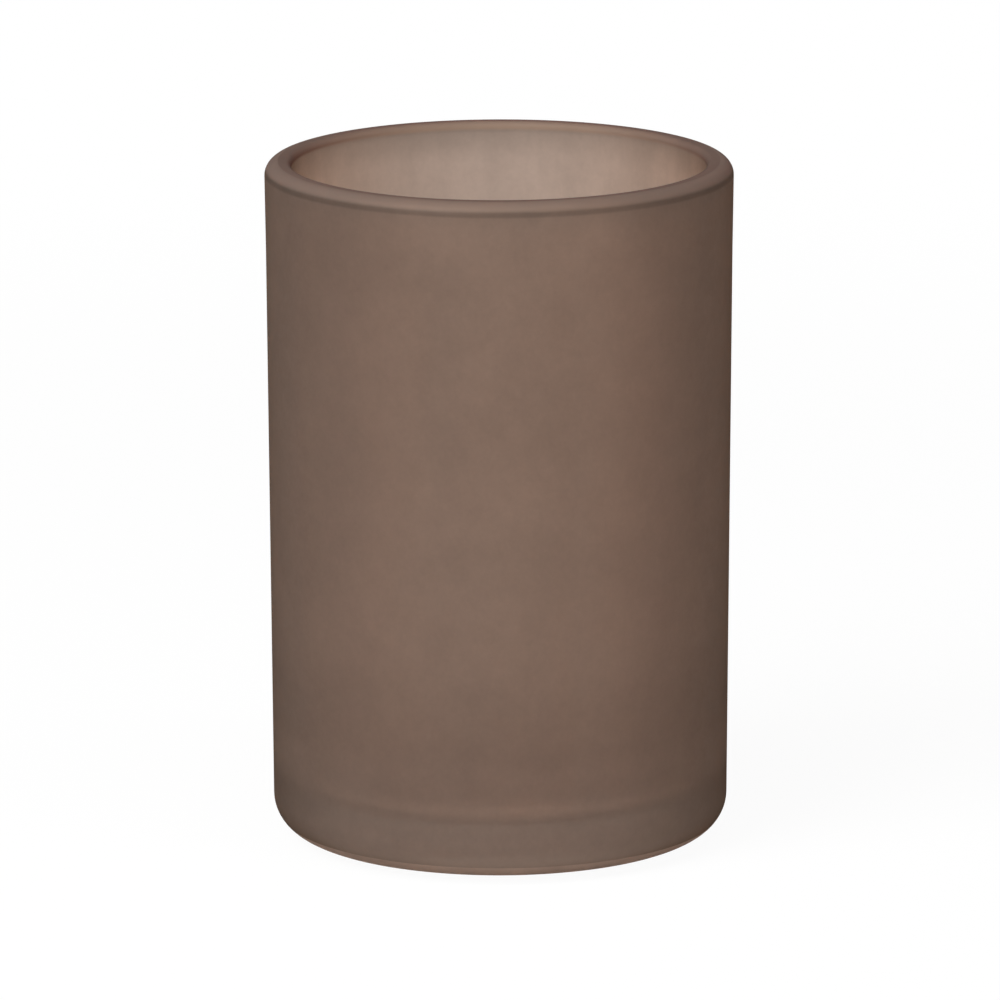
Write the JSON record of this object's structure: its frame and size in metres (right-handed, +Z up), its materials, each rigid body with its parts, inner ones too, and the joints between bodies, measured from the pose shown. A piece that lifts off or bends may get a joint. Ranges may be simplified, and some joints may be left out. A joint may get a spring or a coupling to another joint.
{
  "type": "toothbrush holder",
  "caption": "Round, open-topped tumbler of thick satin-tinted glass on soft stick-on pads, for standing toothbrushes in.",
  "frame": {"origin": "on the surface that the pads stand on, below the middle of the tumbler", "axes": "+Z up along the tumbler's axis, towards its open mouth; the pads lie half way between the X and Y axes"},
  "size_m": [0.075, 0.075, 0.1106],
  "materials": {
    "satin_brown_glass": "satin-etched, translucent taupe brown",
    "clear_soft_vinyl": "clear, soft, slightly cloudy"
  },
  "bodies": {
    "root": {"glass_tumbler": "satin_brown_glass", "base_pad_1": "clear_soft_vinyl", "base_pad_2": "clear_soft_vinyl", "base_pad_3": "clear_soft_vinyl", "base_pad_4": "clear_soft_vinyl"}
  },
  "joints": []
}
